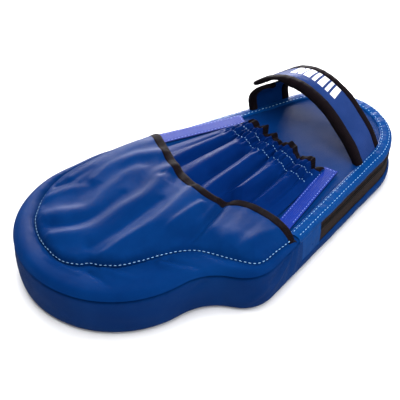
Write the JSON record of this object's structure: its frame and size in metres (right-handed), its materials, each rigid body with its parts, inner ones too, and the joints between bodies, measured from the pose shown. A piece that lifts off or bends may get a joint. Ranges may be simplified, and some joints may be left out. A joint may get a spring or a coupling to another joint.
{
  "type": "hand-shaped striking mitt",
  "caption": "Long padded striking mitt with a flat face, a finger and thumb pocket, a gathered wrist cuff, a forearm strap and a zipped cover.",
  "frame": {"origin": "under the middle of the overall box, on the surface the striking face lies on", "axes": "+X from the fingertips to the forearm end, +Y away from the thumb, +Z out of the back, where the hand goes"},
  "size_m": [0.454, 0.248, 0.1207],
  "materials": {
    "leatherette": "satin",
    "vinyl": "gloss",
    "binding": "matte",
    "webbing": "satin",
    "zip_cloth": "matte",
    "zip_teeth": "satin",
    "slider_metal": "satin",
    "foam": "matte",
    "elastic": "matte",
    "hook_and_loop": "matte"
  },
  "bodies": {
    "pad": {"back_foam": "foam", "back_panel": "leatherette", "core_foam": "foam", "cuff_binding": "binding", "cuff_elastic_front": "elastic", "cuff_elastic_rear": "elastic", "cuff_panel": "vinyl", "edge_strip": "vinyl", "face_panel": "leatherette", "head_gusset": "leatherette", "lower_gusset": "leatherette", "pocket_binding": "binding", "pocket_panel": "leatherette", "side_tape_far": "webbing", "side_tape_near": "webbing", "strike_foam": "foam", "zip_coil_lower": "zip_teeth", "zip_coil_upper": "zip_teeth", "zip_patch_far": "vinyl", "zip_patch_near": "vinyl", "zip_stop_far": "zip_teeth", "zip_stop_near": "zip_teeth", "zip_tape_lower": "zip_cloth", "zip_tape_upper": "zip_cloth"},
    "strap": {"strap_shell": "leatherette", "strap_foam": "foam", "strap_lining": "leatherette", "strap_binding_front": "binding", "strap_binding_rear": "binding"},
    "tip": {"tip_shell": "leatherette", "tip_lining": "leatherette", "tip_binding": "binding", "tip_hook_patch": "hook_and_loop"},
    "anchor": {"anchor_shell": "leatherette", "anchor_binding_front": "binding", "anchor_binding_rear": "binding", "anchor_loop_patch": "hook_and_loop"},
    "slider": {"zip_slider": "slider_metal"},
    "pull": {"zip_pull": "slider_metal"}
  },
  "joints": [
    {"name": "strap_open", "type": "hinge", "parent": "pad", "child": "strap", "pos_m": [0.16537, -0.04335, 0.05197], "axis": [0.9097, 0.4152, 0], "range_deg": [0, 90]},
    {"name": "tip_peel", "type": "hinge", "parent": "strap", "child": "tip", "pos_m": [0.13933, 0.05451, 0.1152], "axis": [0.9876, 0.0804, -0.1346], "range_deg": [0, 60]},
    {"name": "anchor_relax", "type": "hinge", "parent": "pad", "child": "anchor", "pos_m": [0.12839, 0.09562, 0.052], "axis": [-0.9984, 0.0569, 0.002], "range_deg": [0, 28]},
    {"name": "zip_slide", "type": "slide", "parent": "pad", "child": "slider", "axis": [0.9919, -0.1272, 0], "range_m": [0, 0.09]},
    {"name": "pull_swing", "type": "hinge", "parent": "slider", "child": "pull", "pos_m": [0.06504, 0.10845, 0.033], "axis": [0.9919, -0.1272, 0], "range_deg": [0, 120]}
  ],
  "couplings": [
    {"joint": "anchor_relax", "follows": "strap_open", "ratio": 0.3}
  ]
}
